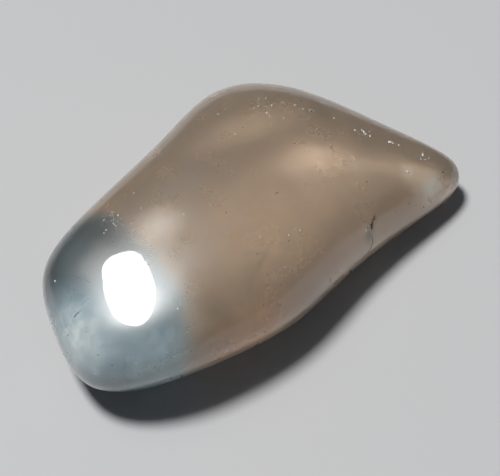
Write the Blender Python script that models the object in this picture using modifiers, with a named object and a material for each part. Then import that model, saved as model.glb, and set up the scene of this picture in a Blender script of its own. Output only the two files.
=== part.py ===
"""A tumbled topaz pebble: one smooth solid with a blunt end and a beak, resting on a small flat spot.

Units are metres and +Z is up. The origin is on the surface that the stone rests on, under the middle
of the stone. +X runs along the stone, from its blunt end to its beak.
"""
import bmesh
import bpy
from mathutils import Vector

NAME = "topaz"
MM = 0.001

# The widest section, in millimetres: x, y and height, at seven stations from blunt end to beak
FAR_SIDE = (
    (-18.25, 3.75, 4.6),
    (-9.5, 7.0, 4.5),
    (-2.0, 9.75, 4.0),
    (4.25, 13.5, 3.6),
    (10.75, 10.5, 3.2),
    (15.25, 3.5, 2.7),
    (19.75, -2.75, 2.2),
)
NEAR_SIDE = (
    (-20.5, -9.25, 3.0),
    (-15.0, -12.0, 4.4),
    (-8.75, -12.5, 4.2),
    (-1.25, -12.25, 2.4),
    (5.25, -9.25, 1.5),
    (12.0, -7.5, 1.4),
    (18.75, -6.5, 1.3),
)
BLUNT_END = (-19.5, -1.25, 3.9)
BEAK_TIP = (20.25, -4.75, 1.5)

# The ridge along the top and the keel along the underside, at the same stations. At the first and
# the last station they only say where the rings round the end lean to.
RIDGE = (
    (-16.0, -2.0, 8.5),
    (-12.25, -2.5, 9.4),
    (-5.5, -1.5, 10.2),
    (1.5, 0.5, 10.1),
    (8.0, 0.5, 8.9),
    (13.5, -2.0, 6.7),
    (16.5, -3.25, 5.2),
)
KEEL = (
    (-16.0, -2.0, 0.9),
    (-12.25, -2.5, 0.35),
    (-5.5, -1.5, -0.35),
    (1.5, 0.5, -0.35),
    (8.0, 0.5, 0.0),
    (13.5, -2.0, 0.35),
    (16.5, -3.25, 0.4),
)

# Each ring of the cage, as shares of the way from the widest section to the ridge or keel: inwards,
# then up or down. The upper shoulder is fuller on the near side (-1) than on the far side (1), and
# roundest at the ends (0).
UPPER_SHOULDER = {-1: (0.22, 0.93), 0: (0.42, 0.86), 1: (0.30, 0.88)}
UPPER_SIDE = (0.0, 0.42)
LOWER_SIDE = (0.03, 0.40)
LOWER_SHOULDER = (0.42, 0.84)

# Open pits in the surface, in millimetres: one end, the other end and the width
PITS = {
    "crevice": ((9.3, -6.9, 6.15), (8.4, -7.8, 5.3), 0.5),
    "edge_nick": ((5.65, -9.05, 3.2), (5.35, -9.1, 2.7), 0.4),
    "brow_pit": ((9.35, 4.4, 8.1), (9.7, 4.0, 8.05), 0.4),
}
PIT_SEGMENTS = 12
PIT_RINGS = 8

STATIONS = len(FAR_SIDE)
SMOOTHING_LEVELS = 3
GRINDING_BLOCK = (60.0, 40.0, 10.0)


def collection(name):
    """A new collection in the scene."""
    made = bpy.data.collections.new(name)
    bpy.context.scene.collection.children.link(made)
    return made


def clear_scene():
    """Start from an empty scene."""
    for old in list(bpy.data.objects):
        bpy.data.objects.remove(old, do_unlink=True)


def topaz_material():
    """Clear champagne-coloured topaz with a tumbled polish."""
    material = bpy.data.materials.new("champagne_topaz")
    material.use_nodes = True
    shader = material.node_tree.nodes["Principled BSDF"]
    shader.inputs["Base Color"].default_value = (0.55, 0.44, 0.34, 1.0)
    shader.inputs["Roughness"].default_value = 0.08
    shader.inputs["Metallic"].default_value = 0.0
    shader.inputs["IOR"].default_value = 1.62
    shader.inputs["Transmission Weight"].default_value = 0.9
    return material


def split_cube():
    """A cube of side 2, cut into six along X, two along Y and three along Z."""
    bm = bmesh.new()
    bmesh.ops.create_cube(bm, size=2.0)
    for axis, cuts in enumerate((STATIONS - 2, 1, 2)):
        along = [e for e in bm.edges if abs(e.verts[0].co[axis] - e.verts[1].co[axis]) > 1.0]
        bmesh.ops.subdivide_edges(bm, edges=along, cuts=cuts, use_grid_fill=True)
    return bm


def widest_point(station, side):
    """The widest section's point at a station, on the near side (-1), the far side (1) or at an end (0)."""
    if side > 0:
        return Vector(FAR_SIDE[station])
    if side < 0:
        return Vector(NEAR_SIDE[station])
    return Vector(BLUNT_END if station == 0 else BEAK_TIP)


def cage_point(station, side, level):
    """Where a point of the split cube goes, level running from -1 at the underside to 1 at the top."""
    middle = Vector((RIDGE if level > 0 else KEEL)[station])
    if side == 0 and 0 < station < STATIONS - 1:
        return middle
    edge = widest_point(station, side)
    shoulder = abs(level) > 0.5
    if level > 0:
        flank = side if 0 < station < STATIONS - 1 else 0
        inwards, upwards = UPPER_SHOULDER[flank] if shoulder else UPPER_SIDE
    else:
        inwards, upwards = LOWER_SHOULDER if shoulder else LOWER_SIDE
    point = edge.lerp(middle, inwards)
    point.z = edge.z + (middle.z - edge.z) * upwards
    return point


def cage_mesh():
    """The coarse cage of the stone."""
    bm = split_cube()
    half_way = (STATIONS - 1) / 2
    for vertex in bm.verts:
        u, v, w = vertex.co
        station = round((u + 1.0) * half_way)
        vertex.co = cage_point(station, round(v), w) * MM
    mesh = bpy.data.meshes.new(NAME)
    bm.to_mesh(mesh)
    bm.free()
    mesh.shade_smooth()
    return mesh


def cutter(name, bm, cutters):
    """A hidden object that takes material away, made from a bmesh that it frees."""
    mesh = bpy.data.meshes.new(name)
    bm.to_mesh(mesh)
    bm.free()
    tool = bpy.data.objects.new(name, mesh)
    tool.hide_render = True
    tool.display_type = "WIRE"
    cutters.objects.link(tool)
    return tool


def grinding_block(cutters):
    """The block that takes the underside off flat at the height of the surface."""
    length, width, depth = (side * MM for side in GRINDING_BLOCK)
    bm = bmesh.new()
    bmesh.ops.create_cube(bm, size=1.0)
    bmesh.ops.scale(bm, vec=(length, width, depth), verts=bm.verts)
    block = cutter("grinding_block", bm, cutters)
    block.location.z = -depth / 2
    return block


def pit_cutter(name, cutters):
    """A slim egg shape that lies along a pit, half sunk into the surface."""
    start, end, width = PITS[name]
    start, end = Vector(start) * MM, Vector(end) * MM
    bm = bmesh.new()
    bmesh.ops.create_uvsphere(bm, u_segments=PIT_SEGMENTS, v_segments=PIT_RINGS, radius=0.5)
    bmesh.ops.scale(bm, vec=(width * MM, width * MM, (end - start).length), verts=bm.verts)
    egg = cutter(name, bm, cutters)
    egg.location = (start + end) / 2
    egg.rotation_mode = "QUATERNION"
    egg.rotation_quaternion = (end - start).to_track_quat("Z", "Y")
    return egg


def cut(pebble, tool):
    """Take a cutter's shape out of the stone."""
    removal = pebble.modifiers.new(tool.name, "BOOLEAN")
    removal.operation = "DIFFERENCE"
    removal.solver = "EXACT"
    removal.object = tool


def stone(parts, cutters):
    """The whole pebble: the cage, smoothed, with its resting flat and its pits."""
    pebble = bpy.data.objects.new(NAME, cage_mesh())
    pebble.data.materials.append(topaz_material())
    parts.objects.link(pebble)
    smoothing = pebble.modifiers.new("smoothing", "SUBSURF")
    smoothing.levels = SMOOTHING_LEVELS
    smoothing.render_levels = SMOOTHING_LEVELS
    cut(pebble, grinding_block(cutters))
    for name in PITS:
        cut(pebble, pit_cutter(name, cutters))
    return pebble


def build():
    """Build the whole model."""
    clear_scene()
    stone(collection("tumbled_topaz"), collection("cutters"))


build()
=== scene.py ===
import math
import random

import bmesh
import bpy
from mathutils import Matrix, Vector, noise
from mathutils.bvhtree import BVHTree


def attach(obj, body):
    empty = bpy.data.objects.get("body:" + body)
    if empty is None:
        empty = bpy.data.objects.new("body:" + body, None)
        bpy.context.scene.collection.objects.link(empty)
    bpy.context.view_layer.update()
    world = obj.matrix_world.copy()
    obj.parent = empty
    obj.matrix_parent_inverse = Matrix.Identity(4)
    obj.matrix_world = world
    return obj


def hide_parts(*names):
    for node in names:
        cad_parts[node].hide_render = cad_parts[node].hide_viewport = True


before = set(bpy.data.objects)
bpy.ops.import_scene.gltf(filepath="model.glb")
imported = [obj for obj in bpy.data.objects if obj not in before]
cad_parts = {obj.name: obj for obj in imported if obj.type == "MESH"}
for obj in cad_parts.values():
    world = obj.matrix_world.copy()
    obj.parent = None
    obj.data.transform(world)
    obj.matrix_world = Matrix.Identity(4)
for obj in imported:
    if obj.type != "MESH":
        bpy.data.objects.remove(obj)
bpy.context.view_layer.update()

MM = 0.001

# The photograph's frame, in pixels
PHOTO_WIDTH = 500
PHOTO_HEIGHT = 476

# The camera, in degrees and millimetres
VIEW_AZIMUTH = -30.0
VIEW_ELEVATION = 55.0
VIEW_DISTANCE = 150.0
VIEW_AIM = (-0.558, -2.514, 4.0)
LENS_LENGTH = 125.28
SENSOR_WIDTH = 36.0
CLIP_END = 5.0

# The far key lamp: its slopes from the vertical, its width in degrees and its strength
KEY_SLOPES = (-0.19, 0.36)
KEY_WIDTH = 14.0
KEY_STRENGTH = 2.75
KEY_COLOUR = (1.0, 0.985, 0.96)

# The oval card that the polish mirrors, in metres, degrees and watts
CARD_HEIGHT = 0.6
CARD_TURN = -11.0
CARD_SLOPES = (-0.20, 0.473)
CARD_SIZE = (0.185, 0.47)
CARD_WATTS = 4.0

# The room round the stone, dim as light and pale to look at
SKY_STRENGTH = 0.07
SKY_COLOUR = (0.85, 0.92, 1.0, 1.0)
BACKDROP_STRENGTH = 0.55
FLOOR_COLOUR = (0.62, 0.63, 0.65, 1.0)
FLOOR_ROUGHNESS = 0.6
FLOOR_HALF = 3.0
CAUSTICS = False

# The stone's clear colours, its milky colours and the share of milk in each half
CHAMPAGNE = (0.95, 0.77, 0.59)
BLUE = (0.62, 0.85, 0.97)
MILKY_CHAMPAGNE = (0.70, 0.45, 0.27)
MILKY_BLUE = (0.36, 0.50, 0.58)
CHAMPAGNE_MILK = 0.24
BLUE_MILK = 0.05
MOST_MILK = 0.9

# Mottle of the milk: its dark colour and most share, its spread of milk, and the least milk of a streak
MOTTLE_COLOUR = (0.30, 0.26, 0.23)
MOTTLE_SHARE = 0.25
MOTTLE_MILK = (0.84, 1.16)
STREAK_LEAST = 0.75

# Optics: index, roughness inside and of the polish, scattering in millimetres, absorption
TOPAZ_IOR = 1.62
INNER_ROUGHNESS = 0.30
ROUGHNESS_SPREAD = 0.04
POLISH_ROUGHNESS = 0.03
SCATTER_SHARE = 0.6
SCATTER_LENGTH = 4.0
SCATTER_RADIUS = (1.0, 0.8, 0.65)
ABSORPTION_COLOUR = (0.70, 0.62, 0.55, 1.0)
ABSORPTION_DENSITY = 15.0

# The surface's faint waviness, in millimetres: height, length and the height above the floor where it is whole
WAVE_HEIGHT = 0.012
WAVE_LENGTH = 3.2
WAVE_START = 0.6

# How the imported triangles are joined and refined: welding in metres, join angles in radians, levels
WELD = 1e-7
JOIN_ANGLES = (0.7, 1.2)
REFINE_LEVELS = 2

# The grains' two colours, roughness and coat; the pale grains' near white is partly a painted glint
PALE_LOOK = ((0.92, 0.90, 0.85), (0.78, 0.74, 0.68), 0.35, 0.6)
DARK_LOOK = ((0.030, 0.024, 0.018), (0.075, 0.055, 0.035), 0.55, 0.0)

# The border between the halves is a wavy round wall, in millimetres
BLUE_CENTRE = (-24.0, -4.5, 5.0)
BLUE_EDGE = (15.6, 13.2)
BORDER_WAVE = 3.0

# Clouds and painted glows: centre and radii in millimetres, colour, share of milk; the glows are painted light
# that passes through the stone
CLOUDS_AND_PAINTED_GLOWS = {
    "body": ((-0.5, -5.5, 7.5), (14.0, 9.5, 7.5), (0.72, 0.46, 0.28), 0.58),
    # Painted glow: light gathered through the stone, pale blue at the lower left
    "painted_blue_glow": ((-18.5, -6.0, 6.8), (6.5, 7.0, 6.0), (0.88, 0.98, 1.00), 0.95),
    # The blue end's colour, lightened by a painted glow near the lower edge
    "lower_blue_painted_glow": ((-13.5, -10.5, 6.5), (6.5, 4.5, 5.5), (0.72, 0.90, 0.97), 0.72),
    "blue_border": ((-10.5, -7.0, 9.0), (2.8, 6.0, 3.0), (0.60, 0.72, 0.76), 0.50),
    # Painted glow: a cream patch of the lamp's light under the top
    "cream_painted_glow": ((-8.4, -1.0, 9.5), (3.2, 2.8, 3.0), (0.90, 0.84, 0.76), 0.70),
    # Painted glow: peach light under the far top edge
    "peach_painted_glow": ((3.5, 4.5, 9.3), (8.0, 2.8, 3.0), (0.78, 0.56, 0.38), 0.50),
    # Painted glow: pale light coming through the tip
    "tip_painted_glow": ((15.8, -6.2, 4.4), (3.0, 2.6, 3.0), (0.97, 0.95, 0.88), 0.95),
    # Painted glow: a small pale spot of light at the tip
    "tip_painted_spot": ((14.2, -4.5, 5.9), (1.4, 1.4, 1.4), (0.85, 0.80, 0.72), 0.60),
    # Painted glow: amber light passing through the near lower edge
    "amber_edge_painted_glow": ((-5.0, -12.0, 5.5), (7.5, 2.8, 5.5), (0.86, 0.42, 0.15), 0.85),
    # Painted light: the lower flank made as bright as the top, which the lamp lights more
    "lower_edge_painted_light": ((8.0, -8.8, 3.5), (10.0, 3.5, 5.0), (0.92, 0.68, 0.48), 0.75),
    "stain": ((8.0, -7.9, 5.0), (1.1, 1.1, 1.4), (0.22, 0.17, 0.08), 0.80),
}

# Small inclusions at the surface: the photograph's pixel and a width in millimetres
# The pale flecks' near white is partly a painted glint
PALE_FLECKS = [
    (55, 281, 0.20), (106, 230, 0.18), (104, 233, 0.14), (118, 215, 0.16), (112, 212, 0.12), (134, 193, 0.14),
    (141, 208, 0.12), (184, 214, 0.14), (184, 261, 0.14), (172, 300, 0.16), (178, 309, 0.18), (193, 360, 0.22),
    (218, 114, 0.14), (225, 109, 0.12), (235, 134, 0.16), (232, 171, 0.12), (254, 108, 0.14), (258, 106, 0.16),
    (259, 99, 0.12), (266, 98, 0.18), (272, 105, 0.16), (282, 102, 0.18), (267, 113, 0.20), (270, 116, 0.16),
    (284, 118, 0.14), (295, 105, 0.20), (303, 109, 0.18), (305, 151, 0.14), (318, 158, 0.18), (334, 118, 0.16),
    (355, 130, 0.22), (364, 132, 0.34), (366, 134, 0.26), (370, 136, 0.22), (362, 130, 0.20), (390, 142, 0.34),
    (393, 143, 0.22), (399, 145, 0.18), (423, 155, 0.34), (421, 159, 0.20), (429, 158, 0.16), (357, 168, 0.24),
    (366, 231, 0.22), (289, 235, 0.18), (300, 230, 0.18), (261, 237, 0.16), (408, 172, 0.26),
]
DARK_SPECKS = [
    (220, 111, 0.22), (220, 105, 0.14), (238, 109, 0.14), (312, 111, 0.36), (318, 129, 0.20), (332, 140, 0.16),
    (320, 138, 0.12), (325, 140, 0.12), (348, 154, 0.14), (310, 151, 0.10), (367, 182, 0.24), (325, 182, 0.14),
    (443, 172, 0.30), (409, 204, 0.34), (424, 207, 0.22), (416, 205, 0.14), (431, 206, 0.16), (307, 208, 0.12),
    (289, 241, 0.18), (279, 304, 0.18), (282, 302, 0.12), (274, 309, 0.14), (268, 315, 0.12), (255, 330, 0.14),
    (265, 332, 0.16), (281, 322, 0.12), (350, 271, 0.30), (86, 332, 0.28), (82, 325, 0.18), (68, 335, 0.20),
    (83, 295, 0.14), (98, 355, 0.20), (112, 365, 0.16), (155, 367, 0.16), (372, 221, 0.26), (371, 225, 0.34),
    (372, 228, 0.26), (375, 214, 0.18), (374, 216, 0.16),
]
# Clusters of fine flecks: pixel, spread in pixels, count
FINE_CLUSTERS = [
    (112, 218, 14, 34), (265, 106, 16, 20), (366, 134, 9, 18), (424, 156, 7, 12), (322, 136, 10, 12),
    (160, 225, 14, 20), (80, 335, 14, 12),
]
# Cracks: pixels along each one, radius and depth in millimetres
CRACKS = {
    "blue_fissure": ([(58, 335), (66, 327), (74, 317), (82, 309), (92, 298)], 0.09, 0.05),
    "blue_branch": ([(72, 332), (80, 322), (86, 312)], 0.05, 0.05),
    "crevice_thread": (
        [(373, 213), (372, 224), (371, 234), (373, 241), (371, 248), (366, 255), (362, 261)], 0.05, 0.02,
    ),
    "inner_line": ([(281, 227), (270, 245), (262, 260), (252, 282), (246, 294)], 0.20, 0.55),
    "tip_thread": ([(376, 182), (382, 176), (390, 171)], 0.05, 0.06),
}
# How much a crack keeps of its radius at the ends
CRACK_END = 0.25

# Grains: growth of the pale ones, then counts and widths in millimetres of those without their own pixel
FLECK_GROWTH = 1.35
FINE_WIDTHS = (0.08, 0.14)
SCATTERED_FLECKS = 60
SIDE_FLECK_WIDTHS = (0.06, 0.15)
SCATTERED_SPECKS = 20
SIDE_SPECK_WIDTHS = (0.07, 0.16)
LOWEST_GRAIN = 1.0
STONE_MIDDLE = (0.0, -1.0, 4.5)
OUTSIDE = 60.0
GRAIN_STRETCH = (0.8, 1.5)
GRAIN_JITTER = 0.08
# Each kind's flatness and the share of its width that it is sunk
FLECK_FORM = (0.45, 0.10)
SPECK_FORM = (0.50, 0.17)
RANDOM_SEED = 11


def view_axes():
    """The camera's right, up and back directions."""
    azimuth = math.radians(VIEW_AZIMUTH)
    elevation = math.radians(VIEW_ELEVATION)
    back = Vector((math.sin(azimuth) * math.cos(elevation),
                   -math.cos(azimuth) * math.cos(elevation),
                   math.sin(elevation)))
    right = Vector((0.0, 0.0, 1.0)).cross(back).normalized()
    return right, back.cross(right), back


RIGHT, UP, BACK = view_axes()
EYE = (Vector(VIEW_AIM) + VIEW_DISTANCE * BACK) * MM


def link(thing):
    """Puts an object in the scene and returns it."""
    bpy.context.scene.collection.objects.link(thing)
    return thing


def add_camera():
    """The camera at the photograph's place."""
    data = bpy.data.cameras.new("camera")
    data.lens = LENS_LENGTH
    data.sensor_width = SENSOR_WIDTH
    data.clip_start = MM
    data.clip_end = CLIP_END
    camera = link(bpy.data.objects.new("camera", data))
    camera.matrix_world = Matrix.Translation(EYE) @ Matrix((RIGHT, UP, BACK)).transposed().to_4x4()
    bpy.context.scene.camera = camera


def sight_line(x, y):
    """The direction from the camera through a pixel of the photograph."""
    focal = LENS_LENGTH / SENSOR_WIDTH * PHOTO_WIDTH
    across = x - PHOTO_WIDTH / 2
    down = y - PHOTO_HEIGHT / 2
    return (RIGHT * across - UP * down - BACK * focal).normalized()


def mesh_object(name, work):
    """A linked object from a bmesh, which is freed."""
    mesh = bpy.data.meshes.new(name)
    work.to_mesh(mesh)
    work.free()
    return link(bpy.data.objects.new(name, mesh))


def evaluated_mesh(thing):
    """A mesh of an object as its modifiers and curve settings leave it."""
    return bpy.data.meshes.new_from_object(thing.evaluated_get(bpy.context.evaluated_depsgraph_get()))


def dress(piece, material):
    """A smooth piece of the stone that rides with it."""
    piece.data.shade_smooth()
    piece.data.materials.clear()
    piece.data.materials.append(material)
    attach(piece, "root")
    return piece


def polished_stone():
    """The stone's fine surface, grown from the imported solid, with the soft waviness of a tumbled face."""
    work = bmesh.new()
    work.from_mesh(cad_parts["topaz"].data)
    bmesh.ops.remove_doubles(work, verts=work.verts, dist=WELD)
    flat, square = JOIN_ANGLES
    bmesh.ops.join_triangles(work, faces=work.faces, angle_face_threshold=flat, angle_shape_threshold=square)
    stone = mesh_object("polished_stone", work)
    finer = stone.modifiers.new("finer", "SUBSURF")
    finer.levels = REFINE_LEVELS
    finer.render_levels = REFINE_LEVELS
    stone.data = evaluated_mesh(stone)
    stone.modifiers.clear()
    spots = [(vertex.co.copy(), vertex.normal.copy()) for vertex in stone.data.vertices]
    for vertex, (spot, normal) in zip(stone.data.vertices, spots):
        place = spot / MM
        wave = WAVE_HEIGHT * (noise.noise(place / WAVE_LENGTH) - 1.0)
        lift = min(1.0, max(0.0, place.z / WAVE_START))
        vertex.co = spot + normal * wave * lift * MM
    return stone


class Surface:
    """Places on the stone's fine surface."""

    def __init__(self, stone):
        mesh = stone.data
        self.tree = BVHTree.FromPolygons([v.co for v in mesh.vertices], [p.vertices for p in mesh.polygons])

    def seen(self, x, y):
        """The point and normal at a pixel of the photograph, or None beside the stone."""
        point, normal, _, _ = self.tree.ray_cast(EYE, sight_line(x, y))
        return None if point is None else (point, normal)

    def sides(self, count, least, most, dice):
        """Points, normals and widths of grains all round the stone, but not close to the floor."""
        found = []
        for _ in range(count):
            direction = Vector([dice.gauss(0.0, 1.0) for _ in range(3)]).normalized()
            start = (Vector(STONE_MIDDLE) + direction * OUTSIDE) * MM
            point, normal, _, _ = self.tree.ray_cast(start, -direction)
            if point.z > LOWEST_GRAIN * MM:
                found.append((point, normal, dice.uniform(least, most)))
        return found


def add_grain(work, point, normal, width, flatness, sunk, dice):
    """One small angular grain, flattened along the surface and sunk into it."""
    frame_turn = normal.to_track_quat("Z", "Y").to_matrix().to_4x4()
    spin = Matrix.Rotation(dice.uniform(0.0, math.tau), 4, "Z")
    long_side = dice.uniform(*GRAIN_STRETCH)
    sizes = Matrix.Diagonal((long_side, 1.0 / long_side, flatness, 1.0))
    place = Matrix.Translation(point - normal * sunk * width * MM)
    matrix = place @ frame_turn @ spin @ sizes
    made = bmesh.ops.create_icosphere(work, subdivisions=1, radius=width / 2 * MM, matrix=matrix)
    for vertex in made["verts"]:
        vertex.co += Vector([dice.uniform(-GRAIN_JITTER, GRAIN_JITTER) * width * MM for _ in range(3)])


def joined_grains(name, spots, flatness, sunk, dice):
    """Many grains joined in one piece; spots are points, normals and widths."""
    work = bmesh.new()
    for point, normal, width in spots:
        add_grain(work, point, normal, width, flatness, sunk, dice)
    return mesh_object(name, work)


def fleck_spots(surface, dice):
    """The pale flecks seen in the photograph, their fine clusters, and a few on the sides it doesn't show."""
    spots = [(*surface.seen(x, y), width * FLECK_GROWTH) for x, y, width in PALE_FLECKS]
    for x, y, spread, count in FINE_CLUSTERS:
        for _ in range(count):
            hit = surface.seen(dice.gauss(x, spread / 2), dice.gauss(y, spread / 2))
            width = dice.uniform(*FINE_WIDTHS)
            if hit:
                spots.append((*hit, width))
    return spots + surface.sides(SCATTERED_FLECKS, *SIDE_FLECK_WIDTHS, dice)


def speck_spots(surface, dice):
    """The dark specks seen in the photograph and a few more round the sides."""
    spots = [(*surface.seen(x, y), width) for x, y, width in DARK_SPECKS]
    return spots + surface.sides(SCATTERED_SPECKS, *SIDE_SPECK_WIDTHS, dice)


def crack(surface, name, pixels, radius, depth):
    """One crack: a thin tube that tapers to both ends, following the surface at its depth."""
    hits = [surface.seen(x, y) for x, y in pixels]
    data = bpy.data.curves.new(name, "CURVE")
    data.dimensions = "3D"
    data.bevel_depth = radius * MM
    data.bevel_resolution = 2
    data.resolution_u = 8
    data.use_fill_caps = True
    spline = data.splines.new("NURBS")
    spline.points.add(len(hits) - 1)
    spline.use_endpoint_u = True
    spline.order_u = 3
    for index, (knot, (point, normal)) in enumerate(zip(spline.points, hits)):
        knot.co = (*(point - normal * depth * MM), 1.0)
        knot.radius = CRACK_END + (1.0 - CRACK_END) * math.sin(math.pi * index / (len(hits) - 1))
    curve = link(bpy.data.objects.new(name, data))
    mesh = evaluated_mesh(curve)
    bpy.data.objects.remove(curve)
    work = bmesh.new()
    work.from_mesh(mesh)
    bmesh.ops.remove_doubles(work, verts=work.verts, dist=WELD)
    bmesh.ops.recalc_face_normals(work, faces=work.faces)
    return mesh_object(name, work)


class Graph:
    """Short calls for a material's nodes, with positions in millimetres of the stone's own frame."""

    def __init__(self, material):
        material.use_nodes = True
        self.nodes = material.node_tree.nodes
        self.links = material.node_tree.links
        self.shader = self.nodes["Principled BSDF"]
        self.output = self.nodes["Material Output"]
        place = self.nodes.new("ShaderNodeTexCoord").outputs["Object"]
        self.place = self.vector("SCALE", place, 1.0 / MM)

    def put(self, socket, value):
        """Joins a socket to another one, or sets its value."""
        if isinstance(value, bpy.types.NodeSocket):
            self.links.new(value, socket)
        else:
            socket.default_value = value

    def math(self, operation, first, second):
        """One sum on two numbers."""
        node = self.nodes.new("ShaderNodeMath")
        node.operation = operation
        self.put(node.inputs[0], first)
        self.put(node.inputs[1], second)
        return node.outputs[0]

    def vector(self, operation, first, second=None):
        """One sum on vectors; its result is a number for a length or a distance."""
        node = self.nodes.new("ShaderNodeVectorMath")
        node.operation = operation
        self.put(node.inputs[0], first)
        if operation == "SCALE":
            self.put(node.inputs["Scale"], second)
        elif second is not None:
            self.put(node.inputs[1], second)
        return node.outputs["Value" if operation in ("LENGTH", "DISTANCE") else "Vector"]

    def fade(self, value, start, end):
        """0 before start, 1 after end, smooth between; start may be the larger one."""
        node = self.nodes.new("ShaderNodeMapRange")
        node.interpolation_type = "SMOOTHSTEP"
        self.put(node.inputs["Value"], value)
        node.inputs["From Min"].default_value = min(start, end)
        node.inputs["From Max"].default_value = max(start, end)
        node.inputs["To Min"].default_value = 0.0 if start < end else 1.0
        node.inputs["To Max"].default_value = 1.0 if start < end else 0.0
        return node.outputs["Result"]

    def mix(self, share, first, second):
        """A colour mixed from first to second."""
        node = self.nodes.new("ShaderNodeMix")
        node.data_type = "RGBA"
        self.put(node.inputs[0], share)
        for index, colour in ((6, first), (7, second)):
            self.put(node.inputs[index], colour if isinstance(colour, bpy.types.NodeSocket) else (*colour, 1.0))
        return node.outputs[2]

    def blend(self, share, first, second):
        """A number mixed from first to second."""
        node = self.nodes.new("ShaderNodeMix")
        self.put(node.inputs[0], share)
        self.put(node.inputs[2], first)
        self.put(node.inputs[3], second)
        return node.outputs[0]

    def noise(self, period, detail=2.0, stretch=(1.0, 1.0, 1.0), distortion=0.0):
        """Noise whose lumps are about a period across, in millimetres."""
        node = self.nodes.new("ShaderNodeTexNoise")
        self.put(node.inputs["Vector"], self.vector("MULTIPLY", self.place, stretch))
        node.inputs["Scale"].default_value = 1.0 / period
        node.inputs["Detail"].default_value = detail
        node.inputs["Distortion"].default_value = distortion
        return node.outputs["Fac"]

    def near(self, centre, radii):
        """1 at the centre, falling smoothly to 0 on an ellipsoid."""
        offset = self.vector("SUBTRACT", self.place, centre)
        return self.fade(self.vector("LENGTH", self.vector("DIVIDE", offset, radii)), 1.0, 0.0)


def stone_material():
    """Clear topaz in two colours with milky clouds and painted glows of light, under a polish."""
    material = bpy.data.materials.new("topaz")
    g = Graph(material)
    wander = g.math("MULTIPLY", g.math("SUBTRACT", g.noise(4.0, detail=3.0), 0.5), BORDER_WAVE)
    blue = g.fade(g.math("ADD", g.vector("DISTANCE", g.place, BLUE_CENTRE), wander), *BLUE_EDGE)
    mottle = g.fade(g.noise(2.4, detail=5.0, distortion=0.3), 0.25, 0.75)
    streak = g.fade(g.noise(0.9, detail=3.0, stretch=(1.0, 1.0, 0.15), distortion=0.3), 0.35, 0.7)
    milk = g.math("MULTIPLY", g.blend(blue, CHAMPAGNE_MILK, BLUE_MILK), g.blend(mottle, *MOTTLE_MILK))
    milk_and_glow_colour = g.mix(blue, MILKY_CHAMPAGNE, MILKY_BLUE)
    for centre, radii, colour, amount in CLOUDS_AND_PAINTED_GLOWS.values():
        share = g.near(centre, radii)
        milk_and_glow_colour = g.mix(share, milk_and_glow_colour, colour)
        milk = g.blend(g.math("MULTIPLY", share, g.blend(streak, STREAK_LEAST, 1.0)), milk, amount)
    milk = g.math("MINIMUM", milk, MOST_MILK)
    milk_and_glow_colour = g.mix(g.math("MULTIPLY", g.math("SUBTRACT", 1.0, mottle), MOTTLE_SHARE), milk_and_glow_colour, MOTTLE_COLOUR)
    shader = g.shader
    g.put(shader.inputs["Base Color"], g.mix(milk, g.mix(blue, CHAMPAGNE, BLUE), milk_and_glow_colour))
    g.put(shader.inputs["Transmission Weight"], g.math("SUBTRACT", 1.0, milk))
    roughest = INNER_ROUGHNESS + ROUGHNESS_SPREAD
    smoothest = INNER_ROUGHNESS - ROUGHNESS_SPREAD
    g.put(shader.inputs["Roughness"], g.blend(mottle, roughest, smoothest))
    shader.inputs["IOR"].default_value = TOPAZ_IOR
    shader.inputs["Subsurface Weight"].default_value = SCATTER_SHARE
    shader.inputs["Subsurface Radius"].default_value = SCATTER_RADIUS
    shader.inputs["Subsurface Scale"].default_value = SCATTER_LENGTH * MM
    shader.inputs["Coat Weight"].default_value = 1.0
    shader.inputs["Coat Roughness"].default_value = POLISH_ROUGHNESS
    absorption = g.nodes.new("ShaderNodeVolumeAbsorption")
    absorption.inputs["Color"].default_value = ABSORPTION_COLOUR
    absorption.inputs["Density"].default_value = ABSORPTION_DENSITY
    g.links.new(absorption.outputs["Volume"], g.output.inputs["Volume"])
    return material


def grain_material(name, light, dark, roughness, coat):
    """An inclusion's colour, varied from grain to grain; the pale grains' white is partly a painted glint."""
    material = bpy.data.materials.new(name)
    g = Graph(material)
    g.put(g.shader.inputs["Base Color"], g.mix(g.noise(0.6), light, dark))
    g.shader.inputs["Roughness"].default_value = roughness
    g.shader.inputs["Coat Weight"].default_value = coat
    return material


def add_floor():
    """A plain pale floor."""
    work = bmesh.new()
    bmesh.ops.create_grid(work, x_segments=1, y_segments=1, size=FLOOR_HALF)
    floor = mesh_object("floor", work)
    material = bpy.data.materials.new("floor")
    material.use_nodes = True
    shader = material.node_tree.nodes["Principled BSDF"]
    shader.inputs["Base Color"].default_value = FLOOR_COLOUR
    shader.inputs["Roughness"].default_value = FLOOR_ROUGHNESS
    floor.data.materials.append(material)


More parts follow.
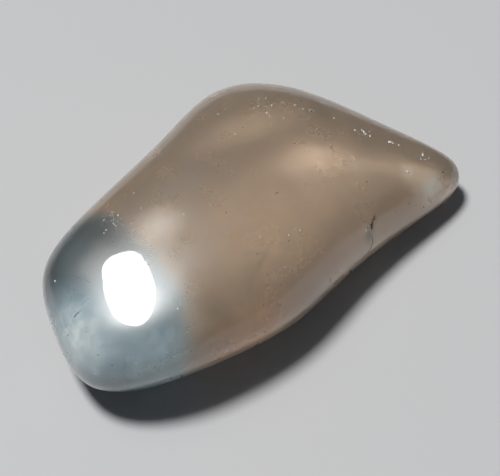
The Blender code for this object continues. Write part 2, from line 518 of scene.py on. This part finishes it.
def add_key():
    """The soft key lamp, which gives the light and the shadow."""
    data = bpy.data.lights.new("key", "SUN")
    data.angle = math.radians(KEY_WIDTH)
    data.energy = KEY_STRENGTH
    data.color = KEY_COLOUR
    key = link(bpy.data.objects.new("key", data))
    key.rotation_euler = Vector((*KEY_SLOPES, 1.0)).to_track_quat("Z", "Y").to_euler()
    key.visible_glossy = False


def add_card():
    """The oval card over the stone, which only the polish shows."""
    data = bpy.data.lights.new("card", "AREA")
    data.shape = "ELLIPSE"
    data.size, data.size_y = CARD_SIZE
    data.energy = CARD_WATTS
    data.color = KEY_COLOUR
    card = link(bpy.data.objects.new("card", data))
    card.location = Vector((*CARD_SLOPES, 1.0)) * CARD_HEIGHT
    card.rotation_euler = (0.0, 0.0, math.radians(CARD_TURN))
    card.visible_camera = False
    card.visible_diffuse = False
    card.visible_transmission = False


def add_room():
    """A dim sky as light, a pale backdrop to look at, and plain rendering of colour."""
    world = bpy.data.worlds.new("room")
    world.use_nodes = True
    nodes = world.node_tree.nodes
    background = nodes["Background"]
    background.inputs["Color"].default_value = SKY_COLOUR
    looked_at = nodes.new("ShaderNodeLightPath").outputs["Is Camera Ray"]
    strength = nodes.new("ShaderNodeMix")
    strength.inputs[2].default_value = SKY_STRENGTH
    strength.inputs[3].default_value = BACKDROP_STRENGTH
    world.node_tree.links.new(looked_at, strength.inputs[0])
    world.node_tree.links.new(strength.outputs[0], background.inputs["Strength"])
    scene = bpy.context.scene
    scene.world = world
    scene.view_settings.view_transform = "Standard"
    scene.cycles.caustics_refractive = CAUSTICS


add_camera()
DICE = random.Random(RANDOM_SEED)
stone = polished_stone()
surface = Surface(stone)
dress(stone, stone_material())
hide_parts("topaz")
# Pale grains, their near white partly a painted glint, and dark specks
pale = grain_material("pale_grain_painted_glint", *PALE_LOOK)
dark = grain_material("dark_grain", *DARK_LOOK)
dress(joined_grains("pale_flecks_painted_glints", fleck_spots(surface, DICE), *FLECK_FORM, DICE), pale)
dress(joined_grains("dark_specks", speck_spots(surface, DICE), *SPECK_FORM, DICE), dark)
for crack_name, (pixels, radius, depth) in CRACKS.items():
    dress(crack(surface, crack_name, pixels, radius, depth), dark)
add_floor()
add_key()
add_card()
add_room()
